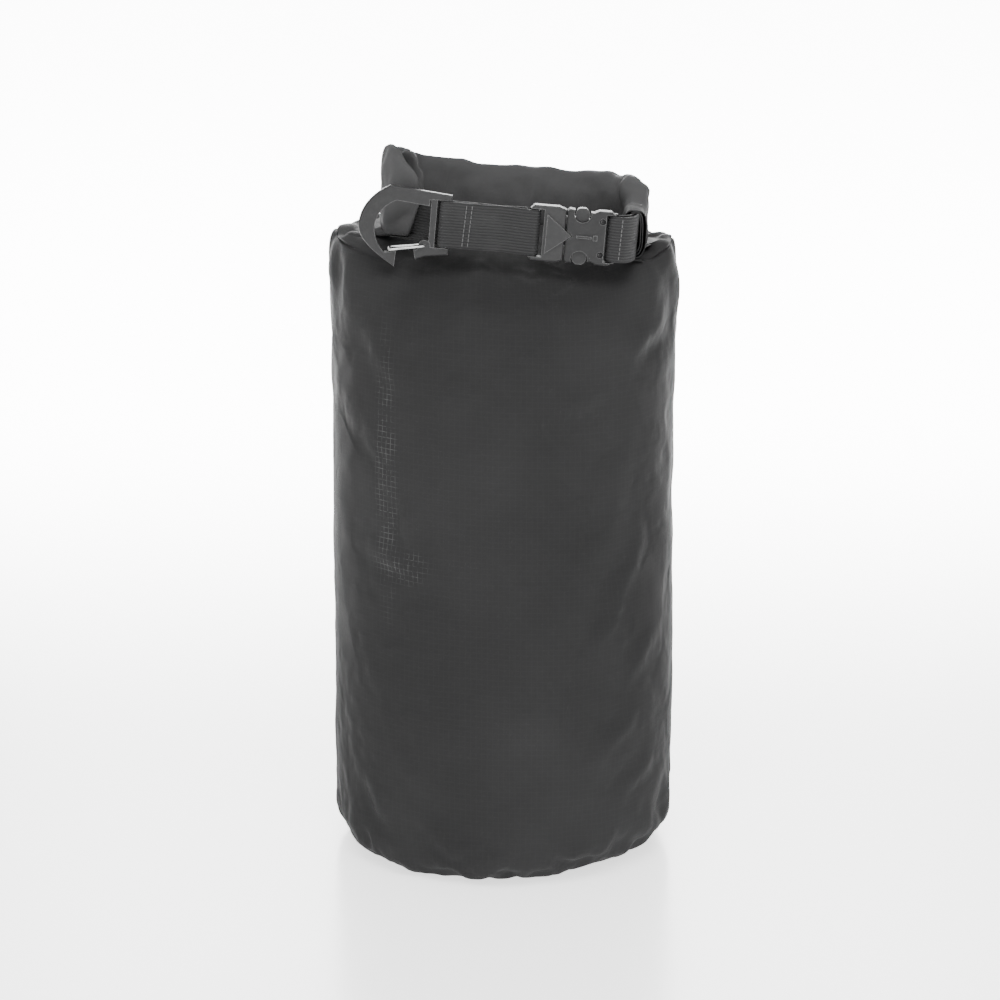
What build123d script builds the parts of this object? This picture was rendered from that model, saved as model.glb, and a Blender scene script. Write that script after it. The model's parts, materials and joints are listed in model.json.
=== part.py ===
from build123d import *
import os

os.makedirs("parts", exist_ok=True)

# A 10 litre roll-top dry bag, rolled shut and standing full, in millimetres.
# +Z is up, -Y is the front, where the closing strap is. The origin is on the
# floor under the middle of the bag.

# ---- driving dimensions --------------------------------------------------
WEB_WIDTH = 25.0          # strap webbing
WEB_THICK = 1.5
BAG_RADIUS = 96.0         # the filled tube
CLOTH = 0.8               # coated ripstop with its seam build-up
BASE_CORNER = 20.0        # the soft round edge between tube and base
TUBE_TOP = 296.0          # the tube is round up to here
SHOULDER_MID = 328.0
SHOULDER_TOP = 345.0      # the cloth is pulled in to the neck here
SHOULDER_ELLIPSES = ((95.5, 82.0), (92.5, 54.0))   # half sizes at SHOULDER_MID and SHOULDER_TOP

# The closure is the roll, the strap, the buckle and the hook. It is built in
# its own frame: U runs along the strap to the right, V away from the front and
# W up, and it leans a few degrees because the roll isn't quite level.
CLOSURE_PLACE = (5.0, -64.0, 367.0)
CLOSURE_LEAN = 5.0
CLOSURE = Location(CLOSURE_PLACE, (0, CLOSURE_LEAN, 0))

ROLL_HEIGHT = 34.0
ROLL_DEPTH = 12.0
ROLL_LIFT = 5.0           # centre of the roll above the strap's centre line
ROLL_ENDS_V = 14.0        # how far behind the strap the roll's two ends lie
SEWN_IN = 1.5             # how far the webbing reaches into a roll end
ROLL_LINE = ((-61.5, ROLL_ENDS_V), (-63.5, 49), (-55, 80), (-34, 88),
             (26, 88), (51, 79), (67.5, 46), (67, ROLL_ENDS_V))
STIFFENER_HEIGHT = 25.0
STIFFENER_THICK = 1.2
STIFFENER_POCKET = (27.0, 3.2)
STIFFENER_SETBACK = 4.0   # the strips stop short of the sewn ends of the roll
NECK_ENDS_V = 40.0
NECK_LINE = ((-63, NECK_ENDS_V), (-55, 80), (-34, 88), (26, 88), (51, 79), (67, NECK_ENDS_V))
NECK_DEPTH = 6.0
NECK_DROP = 26.0          # from the underside of the roll down into the bag
NECK_LAP = 4.0            # how far the neck reaches up into the roll

THREAD = 0.3
STITCHES = 9              # in each row across the webbing
STITCH_LENGTH = 1.9

SEAM_RADIUS = BAG_RADIUS - BASE_CORNER
SEAM_ALLOWANCE = 5.0
SEAM_ALLOWANCE_THICK = 1.2
TAPE_THICK = 0.3
TAPE_WIDTH = 20.0

# ---- side release buckle ---------------------------------------------------
BUCKLE_HALF_HEIGHT = 15.0
PLUG_BAR_U = 11.0
PLUG_BAR_RADIUS = 1.8
PLUG_START_U = 8.7
PLUG_END_U = 28.0
PLUG_SLOT = (12.6, 16.2)
PLUG_THICK = 7.0
BUCKLE_GAP = 0.35
SOCKET_START_U = PLUG_END_U + BUCKLE_GAP
SOCKET_END_U = 55.6
SOCKET_BAR_U = 53.7
SOCKET_SLOT = (49.5, 51.9)
SOCKET_THICK = 9.0
SOCKET_CAVITY = 6.0       # height of the socket's hollow across the strap's thickness
SOCKET_FLOOR_U = 47.0     # inner end of that hollow
DIMPLE_RADIUS = 1.7
PRONG_THICK = 4.6
PRONG_ROOT_U = 30.0
PRONG_TIP_U = 44.5
BARB_U = 36.6             # the barb is a disc that fills most of its window
BARB_W = 11.6
BARB_RADIUS = 3.9
BARB_REACH = 15.2         # the barb is cut flat just proud of the socket's edge
WINDOW_RADIUS = 4.6
ARROW_HALF_HEIGHT = 10.5
ARROW_START_U = 17.8
ARROW_TIP_U = 31.5
ARROW_RISE = 1.3

# ---- wire gate hook ----------------------------------------------------------
HOOK_THICK = 5.0
HOOK_RIGHT_U = -33.6
HOOK_TOP_W = 15.8
HOOK_BACK = ((-67.0, 18.6), (-76.4, 11.6), (-82.0, 2.0), (-82.6, -5.5), (-76.5, -15.0), (-61.0, -25.8))
HOOK_FOOT = ((-52.0, -20.6), (-46.0, -18.2), (HOOK_RIGHT_U, -16.4))
OPENING_RIGHT_U = -44.4
OPENING_TOP_W = 9.2
OPENING_BACK = ((-63.0, 11.0), (-69.6, 6.4), (-73.6, -1.0), (-73.4, -9.0), (-67.8, -17.6))
OPENING_FOOT = ((-50.4, -14.8), (OPENING_RIGHT_U, -8.6))
SPINE_U = -36.4
SPINE_RADIUS = 2.2
WRAP_GAP = 0.05           # between the spine or bar and the webbing round it
GATE_WIRE_RADIUS = 0.7
GATE_PIVOT = (-46.6, -12.4)
GATE_NOSE = (-65.4, -15.9)
GATE_REAR_NOSE = (-65.4, -15.5)
GATE_SIDE = HOOK_THICK / 2 + GATE_WIRE_RADIUS + 0.2

WRAP = WEB_THICK / 2 + WRAP_GAP


def in_closure(shape):
    """A shape from the closure's own frame, put where it belongs on the bag."""
    return CLOSURE * shape


def plate(outline, thick):
    """A flat plate whose outline is in U and W, centred on the strap's middle plane."""
    return extrude(Plane.XZ * outline, amount=thick / 2, both=True)


def ribbon(points, height, thick, lift):
    """A strip standing on edge that follows a smooth line through points in U and V."""
    line = Spline(*[(u, v, lift) for u, v in points])
    start = Plane(origin=line @ 0, x_dir=(0, 0, 1), z_dir=line % 0)
    return sweep(start * Rectangle(height, thick), path=line)


# ---- bag -------------------------------------------------------------------
def bag_form(inset):
    """The closed outer form of the filled bag, shrunk all round by inset."""
    radius = BAG_RADIUS - inset
    corner = BASE_CORNER - inset
    with BuildPart() as form:
        with BuildSketch(Plane.XZ):
            with BuildLine():
                Polyline((0, TUBE_TOP), (0, inset), (SEAM_RADIUS, inset))
                RadiusArc((SEAM_RADIUS, inset), (radius, BASE_CORNER), -corner)
                Polyline((radius, BASE_CORNER), (radius, TUBE_TOP), (0, TUBE_TOP))
            make_face()
        revolve(axis=Axis.Z)
    sections = [Location((0, 0, TUBE_TOP)) * Circle(radius)]
    heights = (SHOULDER_MID, SHOULDER_TOP - inset)
    for height, (half_x, half_y) in zip(heights, SHOULDER_ELLIPSES):
        sections.append(Location((0, 0, height)) * Ellipse(half_x - inset, half_y - inset))
    return form.part + loft(sections)


def neck_form(inset):
    """The flattened neck that joins the shoulder to the underside of the roll."""
    height = NECK_DROP + NECK_LAP
    middle = ROLL_LIFT - ROLL_HEIGHT / 2 + NECK_LAP - height / 2
    return in_closure(ribbon(NECK_LINE, height, NECK_DEPTH - 2 * inset, middle))


def make_body_fabric():
    base_hole = Location((0, 0, CLOTH / 2)) * Cylinder(SEAM_RADIUS - 2, 2 * CLOTH)
    return bag_form(0) - bag_form(CLOTH) - neck_form(CLOTH) - base_hole


def make_base_panel():
    return Location((0, 0, CLOTH / 2)) * Cylinder(SEAM_RADIUS - 2, CLOTH)


def ring(outer, inner, low, high):
    middle = Location((0, 0, (low + high) / 2))
    return middle * (Cylinder(outer, high - low) - Cylinder(inner, high - low))


def make_base_seam_allowance():
    top = CLOTH + SEAM_ALLOWANCE_THICK
    return ring(SEAM_RADIUS - 1, SEAM_RADIUS - 1 - SEAM_ALLOWANCE, CLOTH, top)


def make_base_seam_tape():
    low = CLOTH + SEAM_ALLOWANCE_THICK
    return ring(SEAM_RADIUS, SEAM_RADIUS - TAPE_WIDTH / 2, low, low + TAPE_THICK)


def make_side_seam_tape():
    """The tape that seals the tube's one upright seam, inside at the back."""
    inside = BAG_RADIUS - CLOTH
    wall = ring(inside, inside - TAPE_THICK, BASE_CORNER + 2, TUBE_TOP - 2)
    strip = Location((0, BAG_RADIUS, TUBE_TOP / 2)) * Box(TAPE_WIDTH, BAG_RADIUS, 2 * TUBE_TOP)
    return wall & strip


# ---- roll --------------------------------------------------------------------
def roll_line():
    return Spline(*[(u, v, ROLL_LIFT) for u, v in ROLL_LINE])


def make_rolled_collar():
    """The rolled mouth with its pocket for the stiffeners, and the neck up to it."""
    line = roll_line()
    start = Plane(origin=line @ 0, x_dir=(0, 0, 1), z_dir=line % 0)
    section = RectangleRounded(ROLL_HEIGHT, ROLL_DEPTH, ROLL_DEPTH / 2 - 0.2)
    pocket = Rectangle(*STIFFENER_POCKET)
    roll = in_closure(sweep(start * (section - pocket), path=line))
    ends = in_closure(Location((0, NECK_ENDS_V, 0)) * Box(4 * BAG_RADIUS, 2 * CLOTH, 4 * ROLL_HEIGHT))
    neck = neck_form(0) - (neck_form(CLOTH) - ends) - bag_form(0)
    return roll + neck


def make_stiffener(side):
    """One of the two plastic strips at the mouth; side is -1 for the front one."""
    line = roll_line()
    start = Plane(origin=line @ 0, x_dir=(0, 0, 1), z_dir=line % 0)
    offset = side * (STIFFENER_THICK / 2 + 0.1)
    strip = Location((0, offset)) * Rectangle(STIFFENER_HEIGHT, STIFFENER_THICK)
    sewn_ends = Location((0, ROLL_ENDS_V, 0)) * Box(4 * BAG_RADIUS, 2 * STIFFENER_SETBACK, 2 * ROLL_HEIGHT)
    return in_closure(sweep(start * strip, path=line) - sewn_ends)


# ---- webbing -------------------------------------------------------------------
def webbing(line):
    """Webbing on edge, laid along a line of runs and arcs in U and V."""
    outline = line.wires()[0].offset_2d(WEB_THICK / 2, Kind.ARC, Side.BOTH, closed=True)
    return in_closure(extrude(make_face(outline), amount=WEB_WIDTH / 2, both=True))


def make_strap_webbing():
    """One length: from the roll's left end round the plug's bar, back round the
    hook's spine, and folded under to its sewn tail."""
    bar = PLUG_BAR_RADIUS + WRAP
    spine = SPINE_RADIUS + WRAP
    front = -1.1
    tail = 0.75
    with BuildLine() as line:
        FilletPolyline((-58, ROLL_ENDS_V + SEWN_IN), (-45, 7.6), (-24, bar), (PLUG_BAR_U, bar), radius=12)
        ThreePointArc((PLUG_BAR_U, bar), (PLUG_BAR_U + bar, 0), (PLUG_BAR_U, -bar))
        FilletPolyline((PLUG_BAR_U, -bar), (-4, front), (-24, front), (SPINE_U, -spine), radius=12)
        ThreePointArc((SPINE_U, -spine), (SPINE_U - spine, 0), (SPINE_U, spine))
        FilletPolyline((SPINE_U, spine), (-33.5, spine), (-26, tail), (-20, tail), radius=5)
    return webbing(line)


def make_tab_webbing():
    """The short tab: both ends are sewn into the roll's right end, and it holds the socket."""
    bar = PLUG_BAR_RADIUS + WRAP
    sewn_end = ROLL_ENDS_V + SEWN_IN
    with BuildLine() as line:
        FilletPolyline((69.3, sewn_end), (67.6, 4), (59.5, -bar), (SOCKET_BAR_U, -bar), radius=5)
        ThreePointArc((SOCKET_BAR_U, -bar), (SOCKET_BAR_U - bar, 0), (SOCKET_BAR_U, bar))
        FilletPolyline((SOCKET_BAR_U, bar), (59.2, bar), (65.4, 8), (67, sewn_end), radius=4)
    return webbing(line)


def stitch_rows(places):
    """Rows of thread across the webbing; each place is a row's U and the V of the webbing's face."""
    rows = []
    for u, face in places:
        for step in range(STITCHES):
            w = (step - (STITCHES - 1) / 2) * WEB_WIDTH / (STITCHES + 1)
            rows.append(Location((u, face - THREAD / 2, w)) * Box(2 * THREAD, THREAD, STITCH_LENGTH))
    return in_closure(Compound(children=rows))


def make_strap_stitching():
    return stitch_rows(((-23.5, -1.86), (-26.5, -2.26)))


def make_tab_stitching():
    return stitch_rows(((57.8, -3.36),))


# ---- buckle ----------------------------------------------------------------------
def mirrored_outline(points):
    """A closed outline of straight runs in U and W, mirrored below W = 0."""
    lower = [(u, -w) for u, w in reversed(points)]
    return make_face(Polyline(*points, *lower, close=True))


def make_buckle_plug():
    """The plug's frame, its webbing bar, the arrow on its face and the centre guide."""
    half = BUCKLE_HALF_HEIGHT
    outline = mirrored_outline([(PLUG_START_U, half - 2), (PLUG_START_U + 2, half),
                                (24, half), (PLUG_END_U, half - 1.4)])
    slot_start, slot_end = PLUG_SLOT
    frame = plate(outline, PLUG_THICK)
    frame = fillet(frame.edges().filter_by(Axis.Y, reverse=True).group_by(Axis.Y)[0], 1.2)
    window = Rectangle(slot_end - PLUG_START_U + 2, WEB_WIDTH + 0.8)
    window_place = Location(((slot_end + PLUG_START_U - 2) / 2, 0))
    frame -= plate(window_place * window, 2 * PLUG_THICK)
    bar = Location((PLUG_BAR_U, 0, 0)) * Cylinder(PLUG_BAR_RADIUS, WEB_WIDTH + 2)
    arrow = make_face(Polyline((ARROW_START_U, ARROW_HALF_HEIGHT), (ARROW_TIP_U, 0),
                               (ARROW_START_U, -ARROW_HALF_HEIGHT), close=True))
    arrow_face = extrude(Plane.XZ.offset(PLUG_THICK / 2 - 1) * arrow, amount=ARROW_RISE + 1)
    guide = Location((PLUG_END_U + 7, 0, 0)) * Box(16, 2.6, 3.0)
    roots = prong_root(1) + prong_root(-1)
    return in_closure(frame + bar + arrow_face + guide + roots)


def prong_root(side):
    """The short stub of the plug that a prong springs from."""
    return Location((PLUG_END_U + 0.6, 0, side * 8.0)) * Box(1.6, PRONG_THICK, 4.0)


def make_prong(side):
    """One springing arm with its rounded barb; side is +1 for the upper one."""
    arm = ((PRONG_ROOT_U - 0.5, 6.2), (36, 7.2), (PRONG_TIP_U, 8.0), (PRONG_TIP_U, 9.4),
           (33, 10.2), (PRONG_ROOT_U - 0.5, 9.4))
    outline = make_face(Polyline(*[(u, side * w) for u, w in arm], close=True))
    barb = Location((BARB_U, side * BARB_W)) * Circle(BARB_RADIUS)
    barb &= Location((BARB_U, 0)) * Rectangle(4 * BARB_RADIUS, 2 * BARB_REACH)
    return in_closure(plate(outline + barb, PRONG_THICK))


def make_buckle_socket():
    """The socket: a flat shell, open to the plug, with a window at each barb."""
    half = BUCKLE_HALF_HEIGHT - 0.4
    waist = half - 1.3
    outline = mirrored_outline([(SOCKET_START_U, waist), (29.4, half), (40, waist), (43, waist),
                                (45.5, half), (52, half), (SOCKET_END_U, half - 2.4)])
    body = plate(outline, SOCKET_THICK)
    body = fillet(body.edges().group_by(Axis.Y)[0] + body.edges().group_by(Axis.Y)[-1], 1.3)
    hollow_length = SOCKET_FLOOR_U - SOCKET_START_U + 2
    hollow_place = Location((SOCKET_FLOOR_U - hollow_length / 2, 0, 0))
    body -= hollow_place * Box(hollow_length, SOCKET_CAVITY, 2 * (half - 3.2))
    for side in (1, -1):
        body -= plate(Location((BARB_U, side * (BARB_W + 0.7))) * Circle(WINDOW_RADIUS), 2 * SOCKET_THICK)
    notch = make_face(Polyline((ARROW_START_U, ARROW_HALF_HEIGHT + 0.8), (ARROW_TIP_U + 0.7, 0),
                               (ARROW_START_U, -ARROW_HALF_HEIGHT - 0.8), close=True))
    body -= extrude(Plane.XZ.offset(SOCKET_CAVITY / 2 - 0.5) * notch, amount=4)
    slot_start, slot_end = SOCKET_SLOT
    slot = Rectangle(SOCKET_END_U + 2 - slot_start, WEB_WIDTH + 0.8)
    body -= plate(Location(((SOCKET_END_U + 2 + slot_start) / 2, 0)) * slot, 2 * SOCKET_THICK)
    bar = Location((SOCKET_BAR_U, 0, 0)) * Cylinder(PLUG_BAR_RADIUS, WEB_WIDTH + 2)
    face = -SOCKET_THICK / 2
    rib = Location((38.2, face - 0.2, 0)) * Box(8.0, 1.4, 1.2)
    stud = Location((44.2, face - 0.1, 0)) * Box(2.2, 0.8, 2.8)
    for side in (1, -1):
        body -= Location((47.6, face, side * 9.0)) * Sphere(DIMPLE_RADIUS)
    return in_closure(body + bar + rib + stud)


# ---- hook ------------------------------------------------------------------------
def hook_shape(top_right, back, foot):
    """An outline in U and W: a straight top, a smooth curve down the back and straight runs home."""
    with BuildSketch() as sketch:
        with BuildLine():
            Line(top_right, back[0])
            Spline(*back)
            Polyline(back[-1], *foot, top_right)
        make_face()
    return sketch.sketch


def make_hook():
    """The flat hook with its web slot, its open mouth and its nose."""
    outline = hook_shape((HOOK_RIGHT_U, HOOK_TOP_W), HOOK_BACK, HOOK_FOOT)
    body = plate(outline, HOOK_THICK)
    body = fillet(body.edges().group_by(Axis.Y)[0] + body.edges().group_by(Axis.Y)[-1], 1.2)
    opening = hook_shape((OPENING_RIGHT_U, OPENING_TOP_W), OPENING_BACK, OPENING_FOOT)
    body -= plate(opening, 2 * HOOK_THICK)
    slot = Location((-37.4, 0)) * Rectangle(16.0, WEB_WIDTH + 0.8)
    body -= plate(slot, 2 * HOOK_THICK)
    inner_bar = plate(Location((-43.0, 0)) * Rectangle(3.2, 27.4), HOOK_THICK - 0.6)
    spine = Location((SPINE_U, 0, 0)) * Cylinder(SPINE_RADIUS, WEB_WIDTH + 2)
    mouth = make_face(Polyline((-62.4, -30.0), (-61.4, -12.0), (-53.0, -12.0), (-48.6, -30.0), close=True))
    body -= plate(mouth, 2 * HOOK_THICK)
    boss = plate(Location(GATE_PIVOT) * Circle(3.2), HOOK_THICK)
    hole = plate(Location(GATE_PIVOT) * Circle(GATE_WIRE_RADIUS + 0.08), 2 * HOOK_THICK)
    return in_closure(body + inner_bar + spine + boss - hole)


def make_wire_gate():
    """A springy wire bent in a U: its two ends turn in the hook, and its bow rests on the nose."""
    peg = 0.3
    pivot_u, pivot_w = GATE_PIVOT
    nose_u, nose_w = GATE_NOSE
    rear_u, rear_w = GATE_REAR_NOSE
    line = FilletPolyline(
        Vector(pivot_u, -peg, pivot_w), Vector(pivot_u, -GATE_SIDE, pivot_w),
        Vector(nose_u, -GATE_SIDE, nose_w), Vector(rear_u, GATE_SIDE, rear_w),
        Vector(pivot_u, GATE_SIDE, pivot_w), Vector(pivot_u, peg, pivot_w), radius=1.2)
    start = Plane(origin=line @ 0, z_dir=line % 0)
    return in_closure(sweep(start * Circle(GATE_WIRE_RADIUS), path=line))


NODES = {
    "body_fabric": make_body_fabric(),
    "base_panel": make_base_panel(),
    "base_seam_allowance": make_base_seam_allowance(),
    "base_seam_tape": make_base_seam_tape(),
    "side_seam_tape": make_side_seam_tape(),
    "rolled_collar": make_rolled_collar(),
    "collar_stiffener_front": make_stiffener(-1),
    "collar_stiffener_back": make_stiffener(1),
    "strap_webbing": make_strap_webbing(),
    "strap_stitching": make_strap_stitching(),
    "tab_webbing": make_tab_webbing(),
    "tab_stitching": make_tab_stitching(),
    "buckle_socket": make_buckle_socket(),
    "buckle_plug": make_buckle_plug(),
    "buckle_prong_upper": make_prong(1),
    "buckle_prong_lower": make_prong(-1),
    "hook_body": make_hook(),
    "hook_wire_gate": make_wire_gate(),
}

for name, shape in NODES.items():
    export_step(shape, f"parts/{name}.step")
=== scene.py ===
import json
import math

import bpy
import numpy as np
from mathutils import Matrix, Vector, noise


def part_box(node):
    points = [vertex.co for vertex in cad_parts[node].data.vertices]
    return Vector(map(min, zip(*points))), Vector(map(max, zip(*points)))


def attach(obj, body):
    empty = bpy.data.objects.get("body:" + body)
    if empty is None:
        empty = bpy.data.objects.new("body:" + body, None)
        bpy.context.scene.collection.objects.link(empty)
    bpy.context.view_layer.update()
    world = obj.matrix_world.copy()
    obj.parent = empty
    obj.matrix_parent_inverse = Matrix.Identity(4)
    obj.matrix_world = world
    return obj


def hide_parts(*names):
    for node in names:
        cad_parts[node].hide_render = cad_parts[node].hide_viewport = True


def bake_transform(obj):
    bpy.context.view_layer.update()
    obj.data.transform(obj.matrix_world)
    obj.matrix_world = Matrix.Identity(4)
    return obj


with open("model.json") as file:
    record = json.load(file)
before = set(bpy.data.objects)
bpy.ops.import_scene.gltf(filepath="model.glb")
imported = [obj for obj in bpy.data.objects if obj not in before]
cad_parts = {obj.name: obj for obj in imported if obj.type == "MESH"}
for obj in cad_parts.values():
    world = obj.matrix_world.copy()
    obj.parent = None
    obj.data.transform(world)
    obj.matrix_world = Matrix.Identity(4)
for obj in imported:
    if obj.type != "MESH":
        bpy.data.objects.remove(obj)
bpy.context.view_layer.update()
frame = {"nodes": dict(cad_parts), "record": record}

# ---- places and sizes, in metres, from the frame --------------------------------
MM = 0.001
JOINTS = {joint["name"]: joint for joint in frame["record"]["behaviour"]["joints"]}
BODY_LOW, BODY_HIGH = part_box("body_fabric")
BAG_RADIUS = -BODY_LOW.y
BASE_CORNER = 20 * MM
TUBE_TOP = 0.300
CLOTH = 0.5 * MM

# The closure's own frame: U along the strap to the right, V to the back, W up.
AXIS_W = Vector(JOINTS["hook_swing"]["axis"]).normalized()
AXIS_U = -Vector(JOINTS["plug_slide"]["axis"]).normalized()
AXIS_V = AXIS_W.cross(AXIS_U)
SPINE_U = -36.4
CLOSURE_ORIGIN = Vector(JOINTS["hook_swing"]["pos_m"]) - AXIS_U * SPINE_U * MM

# The roll's middle seen from above, from its left end to its right, in the closure's U and V.
ROLL_LINE = ((-51.5, 10.4), (-57, 11.8), (-63.5, 19), (-65.5, 42), (-55, 80),
             (-34, 88), (26, 88), (51, 79), (67.5, 46), (67, 14))
ROLL_LIFT = 5.0
ROLL_HALF_HEIGHT = 17.0
ROLL_HALF_DEPTH = 6.0


def closure_points(local):
    """Points given in the closure's frame, in millimetres, as row-frame metres."""
    local = np.asarray(local, float)
    axes = np.array([AXIS_U, AXIS_V, AXIS_W], float)
    return np.array(CLOSURE_ORIGIN) + (local * MM) @ axes


# ---- mesh helpers -----------------------------------------------------------------
def smooth_line(points, count):
    """A smooth line through given points, resampled to evenly spaced ones."""
    points = np.asarray(points, float)
    ends = np.vstack([2 * points[0] - points[1], points, 2 * points[-1] - points[-2]])
    fine = []
    for a, b, c, d in zip(ends[:-3], ends[1:-2], ends[2:-1], ends[3:]):
        for t in np.linspace(0, 1, 24, endpoint=False):
            fine.append(0.5 * (2 * b + (c - a) * t + (2 * a - 5 * b + 4 * c - d) * t ** 2
                               + (3 * b - a - 3 * c + d) * t ** 3))
    fine.append(points[-1])
    fine = np.array(fine)
    run = np.concatenate([[0], np.cumsum(np.linalg.norm(np.diff(fine, axis=0), axis=1))])
    even = np.linspace(0, run[-1], count)
    return np.stack([np.interp(even, run, fine[:, k]) for k in range(fine.shape[1])], 1)


def line_length(line):
    return float(np.linalg.norm(np.diff(line, axis=0), axis=1).sum())


def grid_object(name, points, wrap_cols=False, uv=None, caps=False):
    """A mesh from rows x columns of points; uv is in metres, so weaves keep their scale."""
    rows, cols = points.shape[:2]
    faces, corners = [], []
    for i in range(rows - 1):
        for j in range(cols if wrap_cols else cols - 1):
            quad = [(i, j), (i, j + 1), (i + 1, j + 1), (i + 1, j)]
            faces.append([a * cols + b % cols for a, b in quad])
            corners.append(quad)
    if caps:
        faces.append(list(range(cols))[::-1])
        faces.append([(rows - 1) * cols + j for j in range(cols)])
    mesh = bpy.data.meshes.new(name)
    mesh.from_pydata(points.reshape(-1, 3).tolist(), [], faces)
    if uv is not None:
        layer = mesh.uv_layers.new(name="UVMap")
        flat = np.zeros((len(mesh.loops), 2))
        k = 0
        for quad in corners:
            for a, b in quad:
                flat[k] = uv[min(a, uv.shape[0] - 1), min(b, uv.shape[1] - 1)]
                k += 1
        layer.data.foreach_set("uv", flat.ravel())
    mesh.polygons.foreach_set("use_smooth", [True] * len(mesh.polygons))
    mesh.update()
    obj = bpy.data.objects.new(name, mesh)
    bpy.context.scene.collection.objects.link(obj)
    return obj


def bump(x, centre, width):
    return np.exp(-((x - centre) / width) ** 2)


# ---- materials ----------------------------------------------------------------------
CLOTH_DARK = (0.0185, 0.0185, 0.0187)
CLOTH_PALE = (0.0240, 0.0240, 0.0243)
CLOTH_PAINTED_TOP_LIGHT = (0.050, 0.050, 0.0505)   # painted light: the cloth is painted paler at the top, where it faces the light
CLOTH_YARN_AND_GLINT = (0.10, 0.10, 0.10)      # the grid yarns: a little paler everywhere, with a painted highlight (glint) in the glint patches
CLOTH_DUST = (0.04, 0.04, 0.04)
GRID_PITCH = 3.0 * MM
YARN_PITCH = 0.42 * MM
# the heights over which the painted top light comes in
PAINTED_LIGHT_LOW, PAINTED_LIGHT_HIGH = 0.348, 0.382
RIB_PITCH = 1.56 * MM
PICK_PITCH = 0.9 * MM
WEB_DARK = (0.011, 0.011, 0.0113)
WEB_PALE = (0.030, 0.030, 0.0305)
WEB_FADED = (0.034, 0.034, 0.034)


def new_material(name):
    material = bpy.data.materials.new(name)
    material.use_nodes = True
    tree = material.node_tree
    tree.nodes.clear()
    output = tree.nodes.new("ShaderNodeOutputMaterial")
    shader = tree.nodes.new("ShaderNodeBsdfPrincipled")
    tree.links.new(shader.outputs[0], output.inputs[0])
    return material, tree, shader


def math_node(tree, operation, a, b=None, c=None):
    made = tree.nodes.new("ShaderNodeMath")
    made.operation = operation
    for socket, value in zip(made.inputs, (a, b, c)):
        if value is None:
            continue
        if isinstance(value, (int, float)):
            socket.default_value = value
        else:
            tree.links.new(value, socket)
    return made.outputs[0]


def ramp(tree, factor, low, high):
    """Maps factor from low..high to 0..1, smoothly."""
    made = tree.nodes.new("ShaderNodeMapRange")
    made.interpolation_type = "SMOOTHSTEP"
    tree.links.new(factor, made.inputs["Value"])
    made.inputs["From Min"].default_value = low
    made.inputs["From Max"].default_value = high
    return made.outputs[0]


def mix_colour(tree, factor, a, b):
    made = tree.nodes.new("ShaderNodeMix")
    made.data_type = "RGBA"
    if isinstance(factor, float):
        made.inputs["Factor"].default_value = factor
    else:
        tree.links.new(factor, made.inputs["Factor"])
    for socket, value in ((made.inputs[6], a), (made.inputs[7], b)):
        if isinstance(value, tuple):
            socket.default_value = (*value, 1)
        else:
            tree.links.new(value, socket)
    return made.outputs[2]


def noise_texture(tree, vector, scale, detail=4.0, roughness=0.5):
    made = tree.nodes.new("ShaderNodeTexNoise")
    tree.links.new(vector, made.inputs["Vector"])
    made.inputs["Scale"].default_value = scale
    made.inputs["Detail"].default_value = detail
    made.inputs["Roughness"].default_value = roughness
    return made.outputs["Fac"]


def stripes(tree, coordinate, pitch, low, high):
    """1 on a thin line every pitch along the coordinate, 0 between."""
    turn = math_node(tree, "MULTIPLY", coordinate, 2 * math.pi / pitch)
    wave = math_node(tree, "COSINE", turn)
    return ramp(tree, wave, low, high)


def add_bump(tree, shader, layers):
    """Bump from several (height, distance, strength) layers, the coarsest first."""
    normal = None
    for height, distance, strength in layers:
        made = tree.nodes.new("ShaderNodeBump")
        made.inputs["Distance"].default_value = distance
        made.inputs["Strength"].default_value = strength
        tree.links.new(height, made.inputs["Height"])
        if normal is not None:
            tree.links.new(normal, made.inputs["Normal"])
        normal = made.outputs[0]
    tree.links.new(normal, shader.inputs["Normal"])


# Where painted highlights (glints) lie on the grid on the front: centre and half size as (x, y, z), in
# metres.
GLINT_PATCHES = (((-0.056, -0.075, 0.184), (0.016, 0.030, 0.010)),
                ((-0.064, -0.072, 0.232), (0.006, 0.030, 0.075)))


def glint_places(tree, place):
    """1 inside the painted glint patches, fading out to 0 at their edges."""
    total = None
    for centre, half in GLINT_PATCHES:
        shifted = tree.nodes.new("ShaderNodeVectorMath")
        shifted.operation = "SUBTRACT"
        tree.links.new(place, shifted.inputs[0])
        shifted.inputs[1].default_value = centre
        scaled = tree.nodes.new("ShaderNodeVectorMath")
        scaled.operation = "DIVIDE"
        tree.links.new(shifted.outputs[0], scaled.inputs[0])
        scaled.inputs[1].default_value = half
        length = tree.nodes.new("ShaderNodeVectorMath")
        length.operation = "LENGTH"
        tree.links.new(scaled.outputs[0], length.inputs[0])
        inside = ramp(tree, length.outputs["Value"], 1.3, 0.5)
        total = inside if total is None else math_node(tree, "MAXIMUM", total, inside)
    return total


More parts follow.
